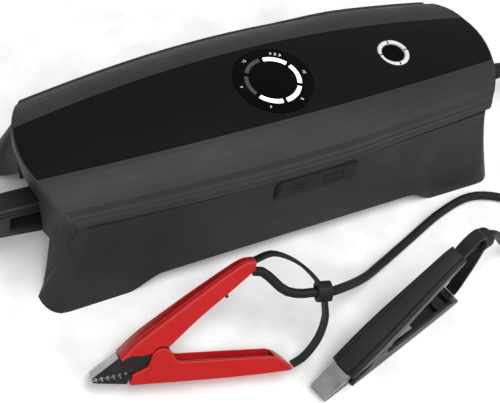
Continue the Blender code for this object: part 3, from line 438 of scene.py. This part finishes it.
# ---------------------------------------------------------------- moulded and printed detail
def prism(name, outline, low, high, matrix, bevel=0.0):
    """An outline in millimetres, extruded along Z and set in place by the matrix."""
    bm = bmesh.new()
    base = bm.faces.new([bm.verts.new((x, y, low)) for x, y in outline])
    grown = bmesh.ops.extrude_face_region(bm, geom=[base])
    lifted = [v for v in grown["geom"] if isinstance(v, bmesh.types.BMVert)]
    bmesh.ops.translate(bm, vec=(0.0, 0.0, high - low), verts=lifted)
    if bevel:
        bmesh.ops.bevel(bm, geom=bm.edges, offset=bevel, segments=2, profile=0.5,
                        affect="EDGES", clamp_overlap=True)
    bmesh.ops.recalc_face_normals(bm, faces=bm.faces)
    bm.transform(matrix)
    mesh = bpy.data.meshes.new(name)
    bm.to_mesh(mesh)
    bm.free()
    mesh.shade_smooth()
    mesh.set_sharp_from_angle(angle=PIECE_CREASE)
    return bpy.data.objects.new(name, mesh)


def joined(name, items):
    """Several small pieces as one mesh."""
    bm = bmesh.new()
    for item in items:
        bm.from_mesh(item.data)
        bpy.data.objects.remove(item)
    mesh = bpy.data.meshes.new(name)
    bm.to_mesh(mesh)
    bm.free()
    mesh.shade_smooth()
    mesh.set_sharp_from_angle(angle=PIECE_CREASE)
    return bpy.data.objects.new(name, mesh)


CORNER_STEPS = 5


def rounded(half_x, half_y, radius, centre):
    """A rectangle with round corners, in millimetres."""
    points = []
    for quarter in range(4):
        sx = (1, -1, -1, 1)[quarter]
        sy = (1, 1, -1, -1)[quarter]
        for k in range(CORNER_STEPS + 1):
            angle = math.pi / 2 * (quarter + k / CORNER_STEPS)
            points.append((centre[0] + sx * (half_x - radius) + radius * math.cos(angle),
                           centre[1] + sy * (half_y - radius) + radius * math.sin(angle)))
    return points


def top_of(node, x, y):
    """Height in metres of a node's upper surface over a point in millimetres."""
    hit, place, _, _ = nodes[node].ray_cast(mm(x, y, 200.0), Vector((0.0, 0.0, -1.0)))
    return place.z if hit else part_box(node)[1][2]


DIAL_RADIUS = 16.9
# Bearing, in degrees clockwise from the far side, and the number printed there.
DIAL_MARKS = ((90.0, "10"), (150.0, "8"), (210.0, "6"), (270.0, "4"), (330.0, "15"))
MARK_HEIGHT = 2.3
PRINT_THICK = 0.03
START_CHEVRONS = 3
START_BEARING = 30.0
START_STEP = 8.0
CHEVRON_OUTLINE = ((-0.7, -0.8), (0.0, -0.8), (0.7, 0.0), (0.0, 0.8), (-0.7, 0.8), (0.0, 0.0))


def on_dial(bearing):
    """A place on the dial's circle, in millimetres, and its angle clockwise from the far side."""
    angle = math.radians(bearing)
    return DIAL_RADIUS * math.sin(angle), DIAL_RADIUS * math.cos(angle), angle


def build_dial():
    """Generic numbers round the lights, and three chevrons where the cycle starts."""
    for bearing, text in DIAL_MARKS:
        x, y, angle = on_dial(bearing)
        letters = bpy.data.curves.new("dial_" + text, "FONT")
        letters.body = text
        letters.size = mm(MARK_HEIGHT)
        letters.extrude = mm(PRINT_THICK)
        letters.align_x = "CENTER"
        letters.align_y = "CENTER"
        item = bpy.data.objects.new("dial_number_" + text, letters)
        item.location = (mm(x), mm(y), top_of("display_lens", x, y) + mm(PRINT_THICK))
        item.rotation_euler = (0.0, 0.0, -angle)
        keep(item, "body", "print")
    pieces = []
    for k in range(START_CHEVRONS):
        x, y, angle = on_dial(START_BEARING + START_STEP * (k - (START_CHEVRONS - 1) / 2))
        place = (Matrix.Translation((mm(x), mm(y), top_of("display_lens", x, y)))
                 @ Matrix.Rotation(-angle, 4, "Z") @ Matrix.Scale(0.001, 4))
        pieces.append(prism(f"chevron_{k}", CHEVRON_OUTLINE, 0.0, 2 * PRINT_THICK, place))
    keep(joined("dial_marks", pieces), "body", "print")


BUTTON_X = 69.6
SPLIT_COUNT = 4
SPLIT_FIRST = -2.0
SPLIT_OUTLINE = ((6.1, -0.3), (8.3, -0.3), (8.3, 0.3), (6.1, 0.3))
SPLIT_DEPTH = 0.35
SPLIT_RISE = 0.06


def build_button_splits():
    """Four thin dark inlays that divide the ring, whose glow is painted."""
    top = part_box("button_ring")[1][2]
    pieces = []
    for k in range(SPLIT_COUNT):
        turn = Matrix.Rotation(math.radians(SPLIT_FIRST + 360.0 / SPLIT_COUNT * k), 4, "Z")
        place = Matrix.Translation((mm(BUTTON_X), 0.0, top)) @ turn @ Matrix.Scale(0.001, 4)
        pieces.append(prism(f"split_{k}", SPLIT_OUTLINE, -SPLIT_DEPTH, SPLIT_RISE, place))
    keep(joined("button_splits", pieces), "body", "panel")


FLAP_CENTRE = (6.2, -45.9, 45.6)
FLAP_TILT = math.radians(5.1)
FLAP_FACE = 0.6
PORT_RIDGE = 0.45
PORT_SUNK = 0.1
PORT_RISE = 0.18
GRIP_SUNK = 0.2
GRIP_RISE = 0.5
# Half length, half height, corner radius and centre of the finger grip.
GRIP_OUTLINE = (0.8, 3.4, 0.7, (-20.6, 0.0))
# Centre, half length, half height and corner radius of each moulded port outline.
PORT_OUTLINES = (((-9.5, 0.0), 4.6, 1.7, 1.6), ((9.5, 0.0), 5.6, 2.6, 0.5))


def build_flap_marks():
    """Two moulded outlines in the shape of the ports behind the flap, and a raised finger grip."""
    turn = Matrix.Rotation(math.pi / 2 - FLAP_TILT, 4, "X")
    place = Matrix.Scale(0.001, 4) @ Matrix.Translation(FLAP_CENTRE) @ turn
    pieces = []
    for centre, half_x, half_y, radius in PORT_OUTLINES:
        outer = rounded(half_x, half_y, radius, centre)
        inner = rounded(half_x - PORT_RIDGE, half_y - PORT_RIDGE, max(0.2, radius - PORT_RIDGE),
                        centre)
        count = len(outer)
        for k in range(count):
            j = (k + 1) % count
            pieces.append(prism(f"edge_{len(pieces)}", [outer[k], outer[j], inner[j], inner[k]],
                                FLAP_FACE - PORT_SUNK, FLAP_FACE + PORT_RISE, place))
    pieces.append(prism("grip", rounded(*GRIP_OUTLINE), FLAP_FACE - GRIP_SUNK,
                        FLAP_FACE + GRIP_RISE, place, bevel=0.2))
    keep(joined("flap_marks", pieces), "flap", "rubber")


RIB_COUNT = 5
RIB_FIRST = 43.0
RIB_PITCH = 2.6
RIB_THICK = 0.9
RIB_LOW = 2.8
RIB_HIGH = 6.8
RIB_INNER = 4.2
CHANNEL_HALF = 5.6
STOP_OUTLINE = ((62.0, 3.0), (64.4, 3.0), (64.4, 6.0), (62.0, 6.0))
LEAF_START = 19.0
LEAF_STEPS = 10
LEAF_PITCH = 2.6
LEAF_THICK = 0.5
LEAF_HALF = 3.4
LEAF_HEIGHT = 5.6
LEAF_FALL = 2.2
LEAF_ARCH = 0.9
CLIP_HALF = 2.2
HOOK_HALF = 1.2
CLIP_BLOCK = ((45.0, 37.4), (47.6, 39.6), (46.6, 40.8), (44.0, 38.6))
CLIP_HOOK = ((46.4, 36.4), (47.6, 37.4), (46.6, 38.8), (45.4, 37.8))


def build_clamp_detail(side):
    """Ribs and a spring leaf in the lower handle's channel, and the lead's clip above."""
    place = clamp_frame(side)
    ribs = []
    for k in range(RIB_COUNT):
        u = RIB_FIRST + RIB_PITCH * k
        outline = [(u, RIB_LOW), (u + RIB_THICK, RIB_LOW), (u + RIB_THICK, RIB_HIGH), (u, RIB_HIGH)]
        ribs.append(prism(f"rib_{k}", outline, -CHANNEL_HALF, -RIB_INNER, place, bevel=0.15))
    ribs.append(prism("stop", STOP_OUTLINE, -CHANNEL_HALF, CHANNEL_HALF, place, bevel=0.3))
    pieces = clamp_pieces[side]
    pieces.append(keep(joined(side + "_channel_ribs", ribs), side + "_lower_grip", side))
    arch = []
    for k in range(LEAF_STEPS + 1):
        height = LEAF_HEIGHT - LEAF_FALL * ease(k / LEAF_STEPS)
        height += LEAF_ARCH * math.sin(math.pi * k / LEAF_STEPS)
        arch.append((LEAF_START + LEAF_PITCH * k, height))
    leaf = arch + [(u, w + LEAF_THICK) for u, w in reversed(arch)]
    pieces.append(keep(prism(side + "_spring_leaf", leaf, -LEAF_HALF, LEAF_HALF, place),
                       side + "_lower_grip", "steel"))
    clip = [prism("block", CLIP_BLOCK, -CLIP_HALF, CLIP_HALF, place, bevel=0.4),
            prism("hook", CLIP_HOOK, -HOOK_HALF, HOOK_HALF, place, bevel=0.3)]
    pieces.append(keep(joined(side + "_lead_clip", clip), "body", "black"))


# ---------------------------------------------------------------- upper handles
HANDLE_HALF = 7.0
HANDLE_TAPER = 0.30        # how much narrower the tail is
TAPER_FROM = 8.0
TAPER_OVER = 52.0
HANDLE_WALL = 1.7
BACK_SPACING = 1.6
UNDER_SPACING = 2.4
BACK_LINE = ((-4.4, 13.3), (5.0, 21.6), (16.9, 30.0), (35.4, 42.6), (52.2, 53.2), (59.2, 54.9))
UNDER_LINE = ((59.4, 50.6), (54.8, 46.6), (47.7, 40.9), (34.0, 30.2), (21.4, 19.4))
LOBE_CENTRE = (15.3, 11.2)
LOBE_RADIUS = 5.9
LOBE_FIRST = 62.0
LOBE_SWEEP = 88.0
LOBE_STEPS = 8
NOSE_LINE = ((6.0, 13.4), (0.6, 13.6))
HANDLE_MIDDLE = Vector((27.0, 33.0, 0.0))
HANDLE_POCKET = ((-6.0, 9.0), (-1.4, 13.0), (17.6, 28.0), (35.4, 40.4), (50.6, 49.4), (52.6, 46.6),
                 (50.0, 36.0), (24.0, 9.0))
EDGE_FROM = 0.9            # share of the half width where the underside starts to round off
EDGE_OVER = 0.1
EDGE_DROP = 0.5
# Share of the half width and how far the back stands out there: a rounded edge and one groove.
BACK_PROFILE = ((1.0, -2.0), (0.985, -1.2), (0.94, -0.6), (0.86, -0.22), (0.74, -0.1), (0.68, -0.15),
                (0.64, -0.7), (0.59, -0.7), (0.55, -0.05), (0.4, 0.0), (0.2, 0.05), (0.0, 0.1))


def handle_outline():
    """The upper handle seen from the side, as (point, share of the back's profile)."""
    back = [(p, 1.0) for p in smooth_route([(*q, 0.0) for q in BACK_LINE], BACK_SPACING)]
    under = [(p, 0.0) for p in smooth_route([(*q, 0.0) for q in UNDER_LINE], UNDER_SPACING)]
    arc = []
    for k in range(LOBE_STEPS + 1):
        angle = math.radians(LOBE_FIRST + LOBE_SWEEP * k / LOBE_STEPS)
        arc.append((Vector((LOBE_CENTRE[0] + LOBE_RADIUS * math.cos(angle),
                            LOBE_CENTRE[1] + LOBE_RADIUS * math.sin(angle), 0.0)), 0.0))
    nose = [(Vector((*q, 0.0)), 0.0) for q in NOSE_LINE]
    return back + under + arc + nose


def handle_mesh(place):
    """The handle as a ring of outline points swept across its width, tapering to the tail."""
    outline = handle_outline()
    columns = [(-share, lift) for share, lift in BACK_PROFILE]
    columns += [(share, lift) for share, lift in reversed(BACK_PROFILE[:-1])]
    bm = bmesh.new()
    rings = []
    for share, lift in columns:
        ring = []
        for k, (spot, back) in enumerate(outline):
            before = outline[k - 1][0] if outline[k - 1][1] == back else spot
            after = outline[(k + 1) % len(outline)]
            ahead = (after[0] if after[1] == back else spot) - before
            out = Vector((-ahead.y, ahead.x, 0.0)).normalized()
            half = HANDLE_HALF * (1.0 - HANDLE_TAPER * ease((spot.x - TAPER_FROM) / TAPER_OVER))
            edge = -EDGE_DROP * max(0.0, (abs(share) - EDGE_FROM) / EDGE_OVER)
            rise = lift * back + edge * (1.0 - back)
            moved = spot + (out * rise if back else (HANDLE_MIDDLE - spot).normalized() * -rise)
            ring.append(bm.verts.new((moved.x, moved.y, share * half)))
        rings.append(ring)
    for one, two in zip(rings, rings[1:]):
        for k in range(len(one)):
            j = (k + 1) % len(one)
            bm.faces.new((one[k], one[j], two[j], two[k]))
    bm.faces.new(rings[0])
    bm.faces.new(list(reversed(rings[-1])))
    bmesh.ops.recalc_face_normals(bm, faces=bm.faces)
    bm.transform(place)
    mesh = bpy.data.meshes.new("handle")
    bm.to_mesh(mesh)
    bm.free()
    return mesh


def hollow(item, tool):
    """Subtract the tool from the item for good, and drop the tool."""
    for piece in (item, tool):
        bpy.context.scene.collection.objects.link(piece)
    step = item.modifiers.new("channel", "BOOLEAN")
    step.operation = "DIFFERENCE"
    step.solver = "EXACT"
    step.object = tool
    bpy.context.view_layer.update()
    item.data = bpy.data.meshes.new_from_object(
        item.evaluated_get(bpy.context.evaluated_depsgraph_get()))
    item.modifiers.clear()
    bpy.data.objects.remove(tool)


def build_handles():
    """Rounded, grooved and tapering upper handles with an open channel below."""
    reach = HANDLE_HALF * (1.0 - HANDLE_TAPER) - HANDLE_WALL
    for side in CLAMPS:
        place = clamp_frame(side)
        shell = bpy.data.objects.new(side + "_handle_shell", handle_mesh(place))
        hollow(shell, prism("channel", HANDLE_POCKET, -reach, reach, place))
        shell.data.shade_smooth()
        shell.data.set_sharp_from_angle(angle=HANDLE_CREASE)
        clamp_pieces[side].append(keep(shell, "body", side))
        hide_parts(side + "_upper_handle")


# ---------------------------------------------------------------- connector housing and case screws
HOUSING_RIBS = (36.4, 38.6)    # heights of the two ribs
HOUSING_RIB_THICK = 0.9
HOUSING_RIB_START = 7.0
HOUSING_RIB_END = 12.0
HOUSING_RIB_SUNK = 0.4
HOUSING_RIB_RISE = 0.35
SCREW_COUNT = 4
BLADE_OUTLINE = ((-1.5, -0.3), (1.5, -0.3), (1.5, 0.3), (-1.5, 0.3))
BLADE_RISE = 0.05
BLADE_STAGGER = 0.02       # keeps the two arms' faces apart
BLADE_DEPTH = 0.3


def build_housing_ribs():
    """Two low ribs along the connector housing's upper beam."""
    low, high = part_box("input_housing")
    flat = Matrix.Scale(0.001, 4) @ Matrix(((1, 0, 0, 0), (0, 0, -1, 0), (0, 1, 0, 0), (0, 0, 0, 1)))
    start, end = low[0] * 1000 + HOUSING_RIB_START, high[0] * 1000 - HOUSING_RIB_END
    near = -low[1] * 1000
    ribs = []
    for height in HOUSING_RIBS:
        top = height + HOUSING_RIB_THICK
        outline = [(start, height), (end, height), (end, top), (start, top)]
        ribs.append(prism(f"bar_{height}", outline, near - HOUSING_RIB_SUNK,
                          near + HOUSING_RIB_RISE, flat, bevel=0.2))
    keep(joined("housing_ribs", ribs), "body", "black")


def build_screw_drives():
    """The cross recess of each case screw, as a dark inlay in its head: painted shade where the
    recess is.
    """
    inlays = []
    for k in range(1, SCREW_COUNT + 1):
        low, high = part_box(f"case_screw_{k}")
        middle = Vector(((low[0] + high[0]) / 2, (low[1] + high[1]) / 2, low[2]))
        for turn in (0.0, math.pi / 2):
            place = (Matrix.Translation(middle) @ Matrix.Rotation(turn, 4, "Z")
                     @ Matrix.Scale(0.001, 4))
            low_face = -BLADE_RISE - BLADE_STAGGER * (turn > 0.0)
            inlays.append(prism("blade", BLADE_OUTLINE, low_face, BLADE_DEPTH, place))
    # The inlays are painted shade that stands in for the hollow of each recess.
    keep(joined("screw_recess_painted_shade", inlays), "body", "black")


# ---------------------------------------------------------------- studio
FLOOR_HALF = 6.0           # metres
SKY_STRENGTH = 0.58
# Name, place and size in metres, and power of each lamp; all of them look at the camera's target.
LAMPS = (("key", (-0.6, -0.9, 1.5), 1.2, 13.0), ("top", (0.3, -0.35, 1.8), 1.0, 15.0),
         ("fill", (1.0, -1.0, 1.1), 1.0, 8.0))


def build_studio():
    """A pale floor, a white sky and three soft lamps."""
    floor_mesh = bpy.data.meshes.new("floor")
    bm = bmesh.new()
    bmesh.ops.create_grid(bm, x_segments=1, y_segments=1, size=FLOOR_HALF)
    bm.to_mesh(floor_mesh)
    bm.free()
    floor = bpy.data.objects.new("floor", floor_mesh)
    bpy.context.scene.collection.objects.link(floor)
    floor_finish = moulded("pale_floor", (0.82, 0.82, 0.82), 0.7, grain=400.0, strength=0.05)
    floor_mesh.materials.append(floor_finish)

    world = bpy.data.worlds.new("studio")
    world.use_nodes = True
    sky = world.node_tree.nodes["Background"]
    sky.inputs["Color"].default_value = (1.0, 1.0, 1.0, 1.0)
    sky.inputs["Strength"].default_value = SKY_STRENGTH
    bpy.context.scene.world = world
    bpy.context.scene.view_settings.view_transform = "Standard"
    for name, place, size, power in LAMPS:
        lamp = bpy.data.lights.new(name, "AREA")
        lamp.shape = "DISK"
        lamp.size = size
        lamp.energy = power
        item = bpy.data.objects.new(name, lamp)
        bpy.context.scene.collection.objects.link(item)
        item.location = place
        item.rotation_euler = (TARGET - Vector(place)).to_track_quat("-Z", "Y").to_euler()


build_camera()
dress_nodes()
build_straps_and_springs()
build_handles()
for clamp_side in CLAMPS:
    build_clamp_detail(clamp_side)
build_cords()
build_dial()
build_button_splits()
build_flap_marks()
build_housing_ribs()
build_screw_drives()
build_studio()
